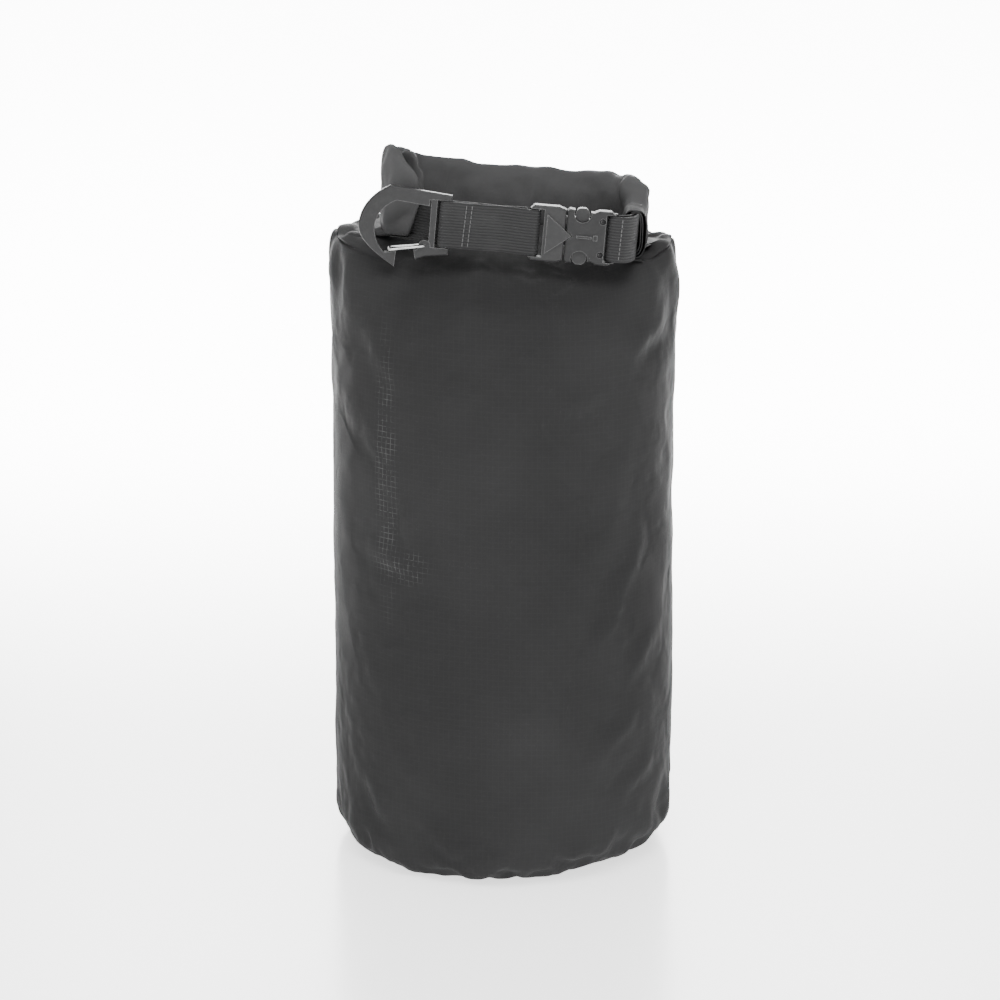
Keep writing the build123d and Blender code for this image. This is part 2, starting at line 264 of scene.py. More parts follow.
def ripstop_material():
    """Coated ripstop: a raised 3 mm grid of heavier yarn over a fine plain weave."""
    material, tree, shader = new_material("ripstop")
    coordinates = tree.nodes.new("ShaderNodeTexCoord")
    split = tree.nodes.new("ShaderNodeSeparateXYZ")
    tree.links.new(coordinates.outputs["UV"], split.inputs[0])
    across, up = split.outputs[0], split.outputs[1]
    grid = math_node(tree, "MAXIMUM", stripes(tree, across, GRID_PITCH, 0.86, 1.0),
                     stripes(tree, up, GRID_PITCH, 0.86, 1.0))
    yarn_turn = 2 * math.pi / YARN_PITCH
    warp = math_node(tree, "SINE", math_node(tree, "MULTIPLY", across, yarn_turn))
    weft = math_node(tree, "SINE", math_node(tree, "MULTIPLY", up, yarn_turn))
    weave = math_node(tree, "MULTIPLY", warp, weft)
    place = coordinates.outputs["Object"]
    patches = noise_texture(tree, place, 9.0, 3.0)
    glint_breakup = noise_texture(tree, place, 60.0, 5.0, 0.9)
    crumple = noise_texture(tree, place, 70.0, 6.0, 0.6)
    folds = noise_texture(tree, place, 17.0, 3.0, 0.5)
    folds = math_node(tree, "ABSOLUTE", math_node(tree, "SUBTRACT", folds, 0.5))
    dust = noise_texture(tree, place, 900.0, 2.0)
    height = tree.nodes.new("ShaderNodeSeparateXYZ")
    tree.links.new(place, height.inputs[0])
    # painted light: the cloth is painted paler towards the top, in place of the brighter light the top gets
    painted_top_light = ramp(tree, height.outputs[2], PAINTED_LIGHT_LOW, PAINTED_LIGHT_HIGH)
    base = mix_colour(tree, ramp(tree, patches, 0.3, 0.7), CLOTH_DARK, CLOTH_PALE)
    base = mix_colour(tree, painted_top_light, base, CLOTH_PAINTED_TOP_LIGHT)
    # painted highlight: the grid yarns are painted bright in the glint patches, broken up by noise;
    # elsewhere they are only a little paler
    painted_glint = math_node(tree, "MULTIPLY", glint_places(tree, place), ramp(tree, glint_breakup, 0.42, 0.60))
    shown = math_node(tree, "MULTIPLY", grid, math_node(tree, "MULTIPLY_ADD", painted_glint, 0.38, 0.02))
    yarns = mix_colour(tree, shown, base, CLOTH_YARN_AND_GLINT)
    fleck = math_node(tree, "MULTIPLY", ramp(tree, dust, 0.64, 0.8), 0.15)
    tree.links.new(mix_colour(tree, fleck, yarns, CLOTH_DUST), shader.inputs["Base Color"])
    rough = math_node(tree, "MULTIPLY_ADD", patches, 0.14, 0.40)
    rough = math_node(tree, "MULTIPLY_ADD", painted_glint, -0.12, rough)
    tree.links.new(rough, shader.inputs["Roughness"])
    shader.inputs["IOR"].default_value = 1.05
    add_bump(tree, shader, [(ramp(tree, folds, 0.0, 0.10), 1.8 * MM, 0.45), (crumple, 1.0 * MM, 0.28),
                            (grid, 0.04 * MM, 0.35), (weave, 0.03 * MM, 0.3)])
    return material


def webbing_material():
    """Flat woven webbing: ribs along it, picks across it, a firm edge."""
    material, tree, shader = new_material("webbing")
    coordinates = tree.nodes.new("ShaderNodeTexCoord")
    split = tree.nodes.new("ShaderNodeSeparateXYZ")
    tree.links.new(coordinates.outputs["UV"], split.inputs[0])
    along, across = split.outputs[0], split.outputs[1]
    ribs = math_node(tree, "COSINE", math_node(tree, "MULTIPLY", across, 2 * math.pi / RIB_PITCH))
    slant = math_node(tree, "MULTIPLY_ADD", across, 0.9, along)
    picks = math_node(tree, "COSINE", math_node(tree, "MULTIPLY", slant, 2 * math.pi / PICK_PITCH))
    fuzz = noise_texture(tree, coordinates.outputs["Object"], 1400.0, 3.0)
    patches = noise_texture(tree, coordinates.outputs["Object"], 60.0, 3.0)
    lit = math_node(tree, "MULTIPLY_ADD", ribs, 0.3, math_node(tree, "MULTIPLY_ADD", picks, 0.15, 0.5))
    colour = mix_colour(tree, lit, WEB_DARK, WEB_PALE)
    faded = math_node(tree, "MULTIPLY", ramp(tree, patches, 0.45, 0.75), 0.3)
    colour = mix_colour(tree, faded, colour, WEB_FADED)
    tree.links.new(colour, shader.inputs["Base Color"])
    rough = math_node(tree, "MULTIPLY_ADD", fuzz, 0.2, 0.55)
    tree.links.new(rough, shader.inputs["Roughness"])
    shader.inputs["IOR"].default_value = 1.22
    add_bump(tree, shader, [(ribs, 0.12 * MM, 0.7), (picks, 0.08 * MM, 0.6), (fuzz, 0.05 * MM, 0.4)])
    return material


def plastic_material(name, dark, pale, roughness, grain):
    """Moulded plastic: fine spark-eroded grain, with a painted highlight that makes the edges paler."""
    material, tree, shader = new_material(name)
    coordinates = tree.nodes.new("ShaderNodeTexCoord")
    place = coordinates.outputs["Object"]
    fine = noise_texture(tree, place, grain, 3.0)
    scuffs = noise_texture(tree, place, 260.0, 5.0, 0.9)
    geometry = tree.nodes.new("ShaderNodeNewGeometry")
    rounded = tree.nodes.new("ShaderNodeBevel")
    rounded.samples = 4
    rounded.inputs["Radius"].default_value = 0.6 * MM
    turned = tree.nodes.new("ShaderNodeVectorMath")
    turned.operation = "DOT_PRODUCT"
    tree.links.new(rounded.outputs[0], turned.inputs[0])
    tree.links.new(geometry.outputs["True Normal"], turned.inputs[1])
    edges = ramp(tree, turned.outputs["Value"], 0.98, 0.80)
    # painted highlight: the edges are painted paler, in place of the bright reflections along the rims
    edge_highlight = math_node(tree, "MULTIPLY", edges, math_node(tree, "MULTIPLY_ADD", scuffs, 0.5, 0.6))
    slightly = tuple(0.95 * a + 0.05 * b for a, b in zip(dark, pale))
    colour = mix_colour(tree, ramp(tree, scuffs, 0.35, 0.75), dark, slightly)
    tree.links.new(mix_colour(tree, edge_highlight, colour, pale), shader.inputs["Base Color"])
    rough = math_node(tree, "MULTIPLY_ADD", fine, 0.15, roughness)
    tree.links.new(rough, shader.inputs["Roughness"])
    shader.inputs["IOR"].default_value = 1.25
    add_bump(tree, shader, [(scuffs, 0.04 * MM, 0.2), (fine, 0.03 * MM, 0.5)])
    return material


def wire_material():
    """Bright drawn stainless wire with fine lengthwise scratches."""
    material, tree, shader = new_material("gate_wire")
    coordinates = tree.nodes.new("ShaderNodeTexCoord")
    place = coordinates.outputs["Object"]
    scratches = noise_texture(tree, place, 2200.0, 4.0, 0.7)
    tarnish = noise_texture(tree, place, 240.0, 3.0)
    colour = mix_colour(tree, ramp(tree, tarnish, 0.4, 0.75), (0.42, 0.42, 0.415), (0.28, 0.28, 0.28))
    tree.links.new(colour, shader.inputs["Base Color"])
    shader.inputs["Metallic"].default_value = 1.0
    rough = math_node(tree, "MULTIPLY_ADD", scratches, 0.2, 0.18)
    tree.links.new(rough, shader.inputs["Roughness"])
    add_bump(tree, shader, [(scratches, 0.02 * MM, 0.4)])
    return material


def thread_material():
    """Twisted polyester thread, a little paler than the webbing."""
    material, tree, shader = new_material("thread")
    coordinates = tree.nodes.new("ShaderNodeTexCoord")
    place = coordinates.outputs["Object"]
    ply = tree.nodes.new("ShaderNodeTexWave")
    ply.wave_type = "BANDS"
    ply.bands_direction = "DIAGONAL"
    tree.links.new(place, ply.inputs["Vector"])
    ply.inputs["Scale"].default_value = 900.0
    colour = mix_colour(tree, ply.outputs["Fac"], (0.05, 0.05, 0.05), (0.11, 0.11, 0.11))
    tree.links.new(colour, shader.inputs["Base Color"])
    shader.inputs["Roughness"].default_value = 0.6
    add_bump(tree, shader, [(ply.outputs["Fac"], 0.05 * MM, 0.6)])
    return material


def film_material(name, dark, pale):
    """Thin heat-sealed film or strip: satin, with soft ripples."""
    material, tree, shader = new_material(name)
    coordinates = tree.nodes.new("ShaderNodeTexCoord")
    ripples = noise_texture(tree, coordinates.outputs["Object"], 120.0, 4.0)
    colour = mix_colour(tree, ramp(tree, ripples, 0.35, 0.7), dark, pale)
    tree.links.new(colour, shader.inputs["Base Color"])
    rough = math_node(tree, "MULTIPLY_ADD", ripples, 0.2, 0.3)
    tree.links.new(rough, shader.inputs["Roughness"])
    add_bump(tree, shader, [(ripples, 0.2 * MM, 0.4)])
    return material


# ---- bag ----------------------------------------------------------------------------
AROUND = 240
WALL_ROWS = 98
SHOULDER_ROWS = 44
BASE_ROWS = 10
EAR_SHARPNESS = 3.0       # how tightly the two corners of the shoulder are folded
NECK_HALF_GAP = 2.0       # half the gap between the neck's two faces, in mm
SETTLE_LIMIT = 2.2 * MM   # how far the simulation may move the cloth
GROUND_GAP = 0.3 * MM     # the cloth stays this far above the ground
STRIP_HALF_WIDTH = 10.0   # of a stiffener, in mm
STRIP_INSET = 0.7         # from the roll's middle to each stiffener, in mm
STRIP_LEAN = 1.25         # the stiffeners lean back by this much more than the cloth
TAPE_DEPTH = 1.4 * MM     # the side seam's tape lies this far inside the cloth
TAPE_HALF_COLUMNS = 4


def roll_ring(count):
    """The flattened tube's top edge: out along the roll's back side and home along its
    inner side, starting at the right end. Angle 0 is the right, a quarter turn the back."""
    line = smooth_line(ROLL_LINE, count // 2 + 1)[::-1]
    tangent = np.gradient(line, axis=0)
    tangent /= np.linalg.norm(tangent, axis=1)[:, None]
    outward = np.stack([tangent[:, 1], -tangent[:, 0]], 1)
    back = line + outward * NECK_HALF_GAP
    front = line - outward * NECK_HALF_GAP
    return np.concatenate([back[:-1], front[::-1][:-1]])


def base_rows(cos, sin, angle):
    """The soft edge between base and tube, fuller at the front right where the bag leans."""
    turned = (angle - math.radians(-48) + math.pi) % (2 * math.pi) - math.pi
    corner = BASE_CORNER + 8 * MM * bump(turned, 0, 0.7)
    rows = []
    for t in np.linspace(0, 1, BASE_ROWS, endpoint=False):
        turn = t * math.pi / 2
        radius = BAG_RADIUS - corner + corner * math.sin(turn)
        rows.append(np.stack([radius * cos, radius * sin, corner * (1 - math.cos(turn))], 1))
    return rows, corner


def bag_points():
    """The filled bag as rows of points, from the base up to the flattened neck."""
    angle = np.linspace(0, 2 * math.pi, AROUND, endpoint=False)
    cos, sin = np.cos(angle), np.sin(angle)
    rows, corner = base_rows(cos, sin, angle)
    for t in np.linspace(0, 1, WALL_ROWS, endpoint=False):
        z = corner + (TUBE_TOP - corner) * t
        widen = 1 + 0.004 * t * np.abs(cos)
        rows.append(np.stack([BAG_RADIUS * cos * widen, BAG_RADIUS * sin, z], 1))
    # the shoulder runs from the tube in to the neck, and folds to an ear at each side
    start = rows[-1] + np.array([0, 0, 3 * MM])
    ring = roll_ring(AROUND)
    under = ROLL_LIFT - ROLL_HALF_HEIGHT + 4
    end = closure_points(np.column_stack([ring, np.full(AROUND, under)]))
    side = np.abs(cos) ** 4
    left = np.clip(-cos, 0, 1)
    rise = (34 + (17 + 5 * left) * side) * MM
    first = start + np.column_stack([0.5 * MM * side * np.sign(cos), 0 * rise, rise])
    second = end + (start - end) * (0.42 + 0.55 * side)[:, None]
    second[:, 2] = end[:, 2] + (-3 + (4 - 11 * left) * side) * MM
    weight = (1 + EAR_SHARPNESS * side)[:, None]
    for t in np.linspace(0, 1, SHOULDER_ROWS):
        shares = [(1 - t) ** 3, 3 * (1 - t) ** 2 * t * weight, 3 * (1 - t) * t ** 2 * weight, t ** 3]
        whole = sum(shares)
        rows.append(sum(share * place for share, place in zip(shares, (start, first, second, end))) / whole)
    return np.array(rows)


def metric_uv(points):
    """Lengths along rows and columns, in metres."""
    across = np.linalg.norm(np.diff(points, axis=1), axis=2)
    across = np.concatenate([np.zeros((points.shape[0], 1)), np.cumsum(across, axis=1)], 1)
    middle = across[points.shape[0] // 3]
    up = np.linalg.norm(np.diff(points, axis=0), axis=2)
    up = np.concatenate([np.zeros((1, points.shape[1])), np.cumsum(up, axis=0)])
    uv = np.zeros((points.shape[0] + 1, points.shape[1] + 1, 2))
    uv[:-1, :-1, 0] = middle[None, :]
    uv[:-1, -1, 0] = middle[-1] + (middle[-1] - middle[-2])
    uv[:-1, :-1, 1] = up
    uv[:-1, -1, 1] = up[:, 0]
    uv[-1] = uv[-2]
    return uv


def grid_normals(points, wrap_cols=True):
    du = np.gradient(points, axis=0)
    if wrap_cols:
        dv = (np.roll(points, -1, 1) - np.roll(points, 1, 1)) / 2
    else:
        dv = np.gradient(points, axis=1)
    normal = np.cross(dv, du)
    return normal / np.maximum(np.linalg.norm(normal, axis=2), 1e-12)[:, :, None]


def fabric_noise(points, scale, seed, octaves=4):
    flat = points.reshape(-1, 3)
    values = [noise.fractal(Vector(p * scale) + Vector((seed, 0, 0)), 1.0, 2.0, octaves) for p in flat]
    return np.array(values).reshape(points.shape[:2])


def ridges(points, scale, seed):
    """Noise with crisp ridge lines between soft hollows, as crumpled coated cloth has."""
    return 0.5 - np.abs(fabric_noise(points, scale, seed, 3)) * 2


# Creases seen on the front: two ends as (x, z), then the ridge's height and width, all in mm.
CREASES = (
    ((-58, 226), (-46, 188), 2.4, 4.0),
    ((-94, 192), (-20, 176), 1.5, 6.0),
    ((-70, 160), (-34, 182), 1.4, 5.0),
    ((-88, 262), (-52, 240), 1.2, 6.0),
    ((66, 250), (44, 156), 1.9, 6.0),
    ((80, 220), (54, 128), 2.2, 5.0),
    ((62, 172), (48, 116), 1.8, 4.0),
    ((84, 150), (64, 96), 1.6, 5.0),
    ((76, 106), (46, 60), 2.2, 5.0),
    ((84, 78), (60, 32), 2.4, 4.5),
    ((-80, 60), (-56, 26), 2.0, 5.0),
    ((-48, 42), (-16, 12), 1.6, 5.0),
    ((18, 32), (54, 10), 2.2, 4.5),
    ((-34, 290), (18, 264), 2.0, 8.0),
    ((18, 264), (62, 288), 2.4, 7.0),
    ((62, 288), (90, 322), 2.4, 6.0),
    ((-86, 322), (-46, 276), 2.0, 7.0),
)


def crease_height(points):
    """How far the placed creases lift the cloth; each is a ridge with a shallow hollow beside it."""
    x, y, z = points[:, :, 0] / MM, points[:, :, 1] / MM, points[:, :, 2] / MM
    front = np.clip(-y / 30, 0, 1)
    total = np.zeros_like(x)
    for (ax, az), (bx, bz), height, width in CREASES:
        length = math.hypot(bx - ax, bz - az)
        along = ((x - ax) * (bx - ax) + (z - az) * (bz - az)) / length ** 2
        bend = 2.2 * np.sin(np.clip(along, 0, 1) * 7)
        offset = ((x - ax) * (bz - az) - (z - az) * (bx - ax)) / length + bend
        fade = np.clip(1.15 - np.abs(along - 0.5) * 1.9, 0, 1)
        ridge = np.exp(-(offset / width) ** 2) - 0.8 * np.exp(-((offset - 1.5 * width) / width) ** 2)
        total += height * ridge * fade * fade
    return total * front * MM


def gather_height(points):
    """Folds that fan out from the neck over the shoulder and die away on the tube."""
    x, y, z = points[:, :, 0] / MM, points[:, :, 1] / MM, points[:, :, 2] / MM
    turn = np.arctan2(y, x)
    high = np.clip((z - 286) / 52, 0, 1)
    wander = fabric_noise(points, 11.0, 5.3, 2)
    folds = np.sin(turn * 11 + wander * 6 + 0.7) + 0.6 * np.sin(turn * 19 - wander * 5)
    middle = 1 - 0.55 * bump(x, 0, 40)
    return folds * high * middle * 1.5 * MM


def tuck_height(points):
    """The dark slit under each ear's top edge, where the cloth folds back into the neck."""
    rows, columns = points.shape[:2]
    step = np.arange(rows) - (rows - SHOULDER_ROWS)
    across = np.cos(np.linspace(0, 2 * math.pi, columns, endpoint=False))
    slit = bump(step / SHOULDER_ROWS, 0.50, 0.03)
    return -2.6 * MM * slit[:, None] * (np.abs(across) ** 3)[None, :]


def base_height(points):
    """The crumpled cloth round the base, where the tube folds under."""
    z = points[:, :, 2] / MM
    low = bump(z, 12, 24)
    return ridges(points, 34.0, 2.4) * low * 3.4 * MM


def run_cloth(obj, pinned, frames=18):
    """Lets the cloth grow a little and settle, so it buckles between its pinned rows."""
    group = obj.vertex_groups.new(name="pinned")
    group.add(pinned, 1.0, "REPLACE")
    cloth = obj.modifiers.new("cloth", "CLOTH")
    settings = cloth.settings
    settings.quality = 5
    settings.mass = 0.2
    settings.tension_stiffness = settings.compression_stiffness = 12
    settings.shear_stiffness = 6
    settings.bending_stiffness = 1.2
    settings.shrink_min = -0.035
    settings.use_pressure = True
    settings.uniform_pressure_force = 1.5
    settings.effector_weights.gravity = 0
    settings.vertex_group_mass = group.name
    cloth.collision_settings.use_collision = False
    scene = bpy.context.scene
    for step in range(1, frames + 1):
        scene.frame_set(step)
    settled = obj.evaluated_get(bpy.context.evaluated_depsgraph_get())
    moved = np.array([v.co[:] for v in settled.data.vertices])
    obj.modifiers.remove(cloth)
    obj.vertex_groups.remove(group)
    scene.frame_set(1)
    return moved


def settle_bag(obj, points):
    """Cloth simulation for the bag's small wrinkles, held within a few millimetres of its form."""
    rows = points.shape[0]
    pinned = list(range(4 * AROUND)) + list(range((rows - 6) * AROUND, rows * AROUND))
    start = points.reshape(-1, 3)
    shift = run_cloth(obj, pinned) - start
    distance = np.linalg.norm(shift, axis=1)
    share = SETTLE_LIMIT * np.tanh(distance / SETTLE_LIMIT) / np.maximum(distance, 1e-9)
    settled = start + shift * share[:, None]
    settled[:, 2] = np.maximum(settled[:, 2], GROUND_GAP)
    obj.data.vertices.foreach_set("co", settled.ravel())
    obj.data.update()


def make_bag(material):
    points = bag_points()
    uv = metric_uv(points)
    normal = grid_normals(points)
    lift = crease_height(points) + gather_height(points) + tuck_height(points) + base_height(points)
    lift += fabric_noise(points, 14.0, 3.1, 3) * 1.1 * MM
    lift += ridges(points, 22.0, 8.8) * 0.5 * MM
    points = points + normal * lift[:, :, None]
    points[:, :, 2] = np.maximum(points[:, :, 2], GROUND_GAP)
    obj = grid_object("bag_cloth", points, wrap_cols=True, uv=uv)
    settle_bag(obj, points)
    round_off = obj.modifiers.new("round", "SUBSURF")
    round_off.levels = round_off.render_levels = 1
    obj.data.materials.append(material)
    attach(obj, "bag")
    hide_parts("body_fabric")
    return obj


def make_side_tape(bag, material):
    """The tape over the tube's upright seam, lying on the inside of the cloth at the back."""
    cloth = np.array([v.co[:] for v in bag.data.vertices]).reshape(-1, AROUND, 3)
    inner = cloth - grid_normals(cloth) * TAPE_DEPTH
    back = AROUND // 4
    strip = inner[BASE_ROWS + 2:BASE_ROWS + WALL_ROWS - 2,
                  back - TAPE_HALF_COLUMNS:back + TAPE_HALF_COLUMNS + 1]
    obj = grid_object("side_tape", strip, uv=metric_uv(strip))
    obj.data.materials.append(material)
    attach(obj, "bag")
    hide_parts("side_seam_tape")
    return obj


def make_base(material):
    radius = BAG_RADIUS - BASE_CORNER
    rings = np.linspace(0.0005, 1.0, 24)
    angle = np.linspace(0, 2 * math.pi, 120, endpoint=False)
    grid = np.zeros((len(rings), len(angle), 3))
    for i, share in enumerate(rings):
        grid[i, :, 0] = radius * share * np.cos(angle)
        grid[i, :, 1] = radius * share * np.sin(angle)
    pucker = fabric_noise(grid, 40.0, 7.7, 3)
    grid[:, :, 2] = 0.35 * MM + 0.3 * MM * np.abs(pucker) * rings[:, None]
    obj = grid_object("base_cloth", grid, wrap_cols=True, uv=metric_uv(grid))
    obj.data.materials.append(material)
    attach(obj, "bag")
    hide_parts("base_panel")
    return obj


# ---- roll --------------------------------------------------------------------------------
# Along the roll from its left end to its right: (share of its length, extra height in mm).
ROLL_TOP = ((0, -9.0), (0.02, 5.0), (0.05, 13.0), (0.085, 16.5), (0.10, 16.5), (0.15, 12.0), (0.24, 9.0),
            (0.31, 6.4), (0.38, 2.0), (0.44, -0.6), (0.51, -0.5), (0.58, 1.0), (0.64, 0.5), (0.70, 1.2),
            (0.77, 3.0), (0.81, 5.0), (0.84, 5.0), (0.87, 0.5), (0.93, -5.5), (1.0, -8.0))


def roll_frame(stations):
    """The roll's line, the way out of the C at each place, the share run and how far it leans back."""
    line = smooth_line(ROLL_LINE, stations)
    tangent = np.gradient(line, axis=0)
    tangent /= np.linalg.norm(tangent, axis=1)[:, None]
    outward = np.stack([-tangent[:, 1], tangent[:, 0]], 1)
    run = np.linspace(0, 1, stations)
    lean = 6.0 * np.sin(math.pi * np.clip((run - 0.2) / 0.65, 0, 1))
    return line, outward, run, lean


def make_stiffener(name, side, replaced, material):
    """A plastic strip in the heart of the roll; side is -1 for the front one."""
    line, outward, run, lean = roll_frame(120)
    height = np.linspace(-STRIP_HALF_WIDTH, STRIP_HALF_WIDTH, 9)
    points = np.zeros((len(run), len(height), 3))
    for i in range(len(run)):
        n = STRIP_INSET * side + lean[i] * STRIP_LEAN * height / ROLL_HALF_HEIGHT
        points[i, :, 0] = line[i, 0] + outward[i, 0] * n
        points[i, :, 1] = line[i, 1] + outward[i, 1] * n
        points[i, :, 2] = height + ROLL_LIFT
    # the strips stop short of the roll's two ends
    inner = points[16:-6]
    obj = grid_object(name, closure_points(inner), uv=metric_uv(closure_points(inner)))
    obj.data.materials.append(material)
    solid = obj.modifiers.new("strip thickness", "SOLIDIFY")
    solid.thickness = 1.0 * MM
    solid.offset = 0
    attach(obj, "bag")
    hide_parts(replaced)
    return obj


def make_roll(material):
    """The mouth wound three turns round its stiffeners, as one spiral sheet."""
    stations = 170
    turns = 3.0
    section_count = 210
    line, outward, run, lean = roll_frame(stations)
    wind = np.linspace(0, 1, section_count)
    # the outer end starts under the roll, where the neck comes up
    turn = -math.pi / 2 - wind * turns * 2 * math.pi
    # each turn inside the last is thinner and a little lower
    depth = ROLL_HALF_DEPTH * (1 - 0.62 * wind)
    height = ROLL_HALF_HEIGHT * (1 - 0.24 * wind)
    bulge = 0.66
    section_n = depth * np.sign(np.cos(turn)) * np.abs(np.cos(turn)) ** bulge
    section_w = height * np.sign(np.sin(turn)) * np.abs(np.sin(turn)) ** bulge
    high = np.clip(section_w / ROLL_HALF_HEIGHT, 0, 1)
    outer = np.clip(1 - wind * turns * 1.05, 0, 1)
    extra = np.interp(run, *zip(*ROLL_TOP))
    # the left corner is folded to an open pocket on top, and the outer turn gapes at the right end
    pocket = np.clip(1 - np.abs(run - 0.09) / 0.10, 0, 1) ** 0.6
    right_gape = 5.0 * np.clip(1 - (1 - run) / 0.12, 0, 1)
    # the cloth pinched to a corner where the roll turns forward at the right
    pinch = 4.5 * np.clip(1 - np.abs(run - 0.86) / 0.045, 0, 1) ** 1.5
    points = np.zeros((stations, section_count, 3))
    for i in range(stations):
        swell = 1 + 0.10 * math.sin(run[i] * 9.0 + 0.6) + 0.07 * math.sin(run[i] * 23.0)
        n = section_n * swell
        n += np.sign(section_n) * outer * (4.5 * pocket[i] * high + right_gape[i] * (1 - 0.6 * high))
        n += pinch[i] * high * np.sign(section_n)
        n += lean[i] * section_w / ROLL_HALF_HEIGHT + 1.6 * math.sin(run[i] * 11.0 + 0.4) * high
        w = section_w + extra[i] * high ** 1.2 + ROLL_LIFT
        valley = 24 - 22 * pocket[i] * np.exp(-(n / 4.5) ** 2) - 2 * wind
        w = np.where(pocket[i] > 0, np.minimum(w, valley + extra[i]), w)
        slant = 4.5 * np.clip(1 - run[i] / 0.12, 0, 1) * (w - ROLL_LIFT) / ROLL_HALF_HEIGHT
        points[i, :, 0] = line[i, 0] + outward[i, 0] * n + slant
        points[i, :, 1] = line[i, 1] + outward[i, 1] * n
        points[i, :, 2] = w
    points = closure_points(points)
    normal = grid_normals(points, wrap_cols=False)
    lift = fabric_noise(points, 24.0, 1.7, 3) * 2.0 * MM + ridges(points, 26.0, 6.1) * 1.8 * MM
    # every turn takes the outer turn's folds, so that no turn cuts through another
    lift = np.tile(lift[:, :section_count // 3], (1, 3)) * (1 - 0.4 * wind)[None, :]
    points = points - normal * lift[:, :, None]
    obj = grid_object("roll_cloth", points, uv=metric_uv(points))
    obj.data.materials.append(material)
    solid = obj.modifiers.new("cloth thickness", "SOLIDIFY")
    solid.thickness = CLOTH
    solid.offset = 0
    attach(obj, "bag")
    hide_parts("rolled_collar")
    return obj


# ---- webbing -----------------------------------------------------------------------------
WEB_HALF_WIDTH = 12.5
WEB_HALF_THICK = 0.75
# Each webbing's middle seen from above, in the closure's U and V: out to its bar and home again.
STRAP_LINE = ((-58, 15.5), (-50, 10.5), (-43, 7.2), (-33, 4.3), (-22, 2.9), (0, 2.6), (11, 2.6),
              (13.0, 1.7), (13.6, 0), (13.0, -1.7), (11, -2.6), (3, -1.9), (-6, -1.2), (-22, -1.1),
              (-30, -1.9), (-36.4, -3.0), (-38.6, -2.1), (-39.4, 0), (-38.6, 2.1), (-36.4, 3.0),
              (-33, 2.6), (-27, 1.0), (-20, 0.75))
TAB_LINE = ((67.3, 15.5), (66.4, 9), (64.2, 2.8), (61.0, -1.2), (57.8, -2.6), (53.7, -2.6), (51.7, -1.7),
            (51.1, 0), (51.7, 1.7), (53.7, 2.6), (57.0, 2.7), (60.4, 5.0), (62.8, 8.6), (64.9, 15.5))


def ribbed_section():
    """Half outline of webbing: thin ribs across its width, folded round a soft edge."""
    ribs = 16
    across = np.linspace(-1, 1, ribs * 4 + 1)
    face = WEB_HALF_THICK * (1 - 0.25 * np.abs(across) ** 12) + 0.05 * np.cos(across * math.pi * ribs)
    upper = np.column_stack([face, across * (WEB_HALF_WIDTH - 0.15)])
    lower = np.column_stack([-face, across * (WEB_HALF_WIDTH - 0.15)])[::-1]
    return np.concatenate([upper, lower])


def webbing_object(name, line, count):
    line = smooth_line(line, count)
    tangent = np.gradient(line, axis=0)
    tangent /= np.linalg.norm(tangent, axis=1)[:, None]
    outward = np.stack([-tangent[:, 1], tangent[:, 0]], 1)
    section = ribbed_section()
    run = np.linspace(0, line_length(line), count)
    points = np.zeros((count, len(section), 3))
    uv = np.zeros((count + 1, len(section) + 1, 2))
    for i in range(count):
        points[i, :, :2] = line[i] + np.outer(section[:, 0], outward[i])
        points[i, :, 2] = section[:, 1] + 0.12 * math.sin(run[i] * 0.21)
        uv[i, :-1, 0] = run[i] * MM
        uv[i, :-1, 1] = section[:, 1] * MM
        uv[i, -1] = uv[i, 0]
    return grid_object(name, closure_points(points), wrap_cols=True, uv=uv, caps=True)


def make_strap(material):
    obj = webbing_object("strap_web", STRAP_LINE, 340)
    obj.data.materials.append(material)
    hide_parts("strap_webbing")
    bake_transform(obj)
    return obj


def make_tab(material):
    obj = webbing_object("tab_web", TAB_LINE, 160)
    obj.data.materials.append(material)
    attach(obj, "bag")
    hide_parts("tab_webbing")
    return obj


def make_stitches(name, replaced, rows, material):
    """Rows of sewn stitches; each row is its U at the top and bottom, and the V of the webbing's face."""
    stitches, sides, radius = 9, 8, 0.24
    pitch = 2 * WEB_HALF_WIDTH / (stitches + 1)
    verts, faces = [], []
    for u_top, u_bottom, face in rows:
        for k in range(stitches):
            middle = (k - (stitches - 1) / 2) * pitch
            u = u_bottom + (u_top - u_bottom) * (middle / WEB_HALF_WIDTH + 1) / 2
            bow = [(u, face + 0.30 - 0.50 * math.sin(math.pi * t), middle + (t - 0.5) * 0.8 * pitch)
                   for t in np.linspace(0, 1, 9)]
            start = len(verts)
            for place in bow:
                for side in range(sides):
                    turn = 2 * math.pi * side / sides
                    u_side = place[0] + radius * math.cos(turn)
                    v_side = place[1] + radius * math.sin(turn)
                    verts.append((u_side, v_side, place[2]))
            for i in range(len(bow) - 1):
                for j in range(sides):
                    a, b = start + i * sides + j, start + i * sides + (j + 1) % sides
                    faces.append((a, b, b + sides, a + sides))
            faces.append([start + j for j in range(sides)][::-1])
            faces.append([len(verts) - sides + j for j in range(sides)])
    mesh = bpy.data.meshes.new(name)
    mesh.from_pydata(closure_points(verts).tolist(), [], faces)
    mesh.polygons.foreach_set("use_smooth", [True] * len(mesh.polygons))
    obj = bpy.data.objects.new(name, mesh)
    bpy.context.scene.collection.objects.link(obj)
    obj.data.materials.append(material)
    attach(obj, "bag")
    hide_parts(replaced)
    return obj


# ---- carried-over hardware ---------------------------------------------------------------
def dress(names, material):
    for name in names:
        obj = frame["nodes"][name]
        obj.data.materials.clear()
        obj.data.materials.append(material)


# ---- stage ----------------------------------------------------------------------------------
BACK_GLOW = 7.5           # the white wall behind the bag
FLOOR_GLOW = 1.5
WORLD_LIGHT = 1.25


